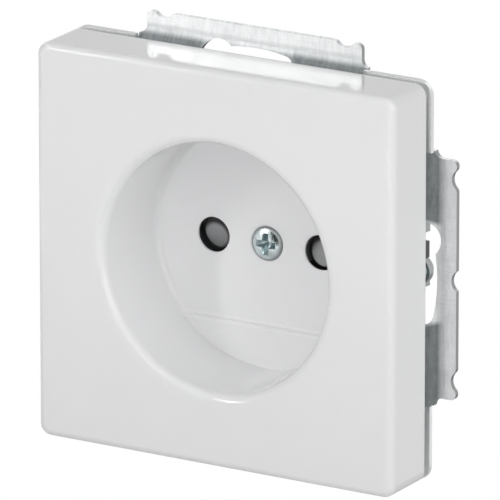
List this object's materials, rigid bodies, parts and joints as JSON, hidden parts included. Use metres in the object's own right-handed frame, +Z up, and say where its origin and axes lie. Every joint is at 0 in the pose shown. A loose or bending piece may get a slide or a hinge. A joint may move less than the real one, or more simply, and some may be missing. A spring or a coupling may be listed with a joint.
{
  "type": "flush wall socket",
  "caption": "Flush mains socket with a square white cover, a round plug recess, a turning shutter, a pressed steel support ring, spreading claws and push-wire terminals.",
  "frame": {"origin": "on the axis of the plug recess, in the plane of the finished wall, where the backs of the ring's tabs rest", "axes": "X to the right seen from the room, Y into the wall, Z up"},
  "size_m": [0.0704, 0.0413, 0.0704],
  "materials": {
    "white_cover": "glossy",
    "grey_plastic": "satin",
    "insert_plastic": "matte",
    "key_plastic": "matte",
    "galvanised_sheet": "galvanised",
    "zinc": "zinc plated",
    "spring_steel": "bright",
    "contact_metal": "bright"
  },
  "bodies": {
    "insert": {"cover_plate": "white_cover", "cover_screw": "zinc", "shutter_spring": "spring_steel", "shutter_housing": "insert_plastic", "base": "insert_plastic", "support_ring": "galvanised_sheet", "ring_rivets": "zinc", "screw_nut": "zinc", "left_contact": "contact_metal", "right_contact": "contact_metal", "upper_left_clamp": "spring_steel", "upper_right_clamp": "spring_steel", "lower_left_clamp": "spring_steel", "lower_right_clamp": "spring_steel", "claw_screws": "zinc"},
    "shutter": {"shutter": "grey_plastic"},
    "left_claw": {"left_claw": "galvanised_sheet"},
    "right_claw": {"right_claw": "galvanised_sheet"},
    "left_release_key": {"left_release_key": "key_plastic"},
    "right_release_key": {"right_release_key": "key_plastic"}
  },
  "joints": [
    {"name": "shutter_turn", "type": "hinge", "parent": "insert", "child": "shutter", "pos_m": [0, 0.00595, 0], "axis": [0, 1, 0], "range_deg": [0, 40], "stiffness_Nm_per_rad": 0.004, "springref_deg": -17.19, "deforming": ["shutter_spring"]},
    {"name": "left_claw_swing", "type": "hinge", "parent": "insert", "child": "left_claw", "pos_m": [-0.021, 0.006, 0.0012], "axis": [0, 0, 1], "range_deg": [0, 20]},
    {"name": "right_claw_swing", "type": "hinge", "parent": "insert", "child": "right_claw", "pos_m": [0.021, 0.006, -0.0012], "axis": [0, 0, -1], "range_deg": [0, 20]},
    {"name": "left_key_press", "type": "slide", "parent": "insert", "child": "left_release_key", "axis": [0, -1, 0], "range_m": [0, 0.0022], "stiffness_N_per_m": 2500, "springref_m": -0.0002, "deforming": ["upper_left_clamp", "lower_left_clamp"]},
    {"name": "right_key_press", "type": "slide", "parent": "insert", "child": "right_release_key", "axis": [0, -1, 0], "range_m": [0, 0.0022], "stiffness_N_per_m": 2500, "springref_m": -0.0002, "deforming": ["upper_right_clamp", "lower_right_clamp"]}
  ]
}
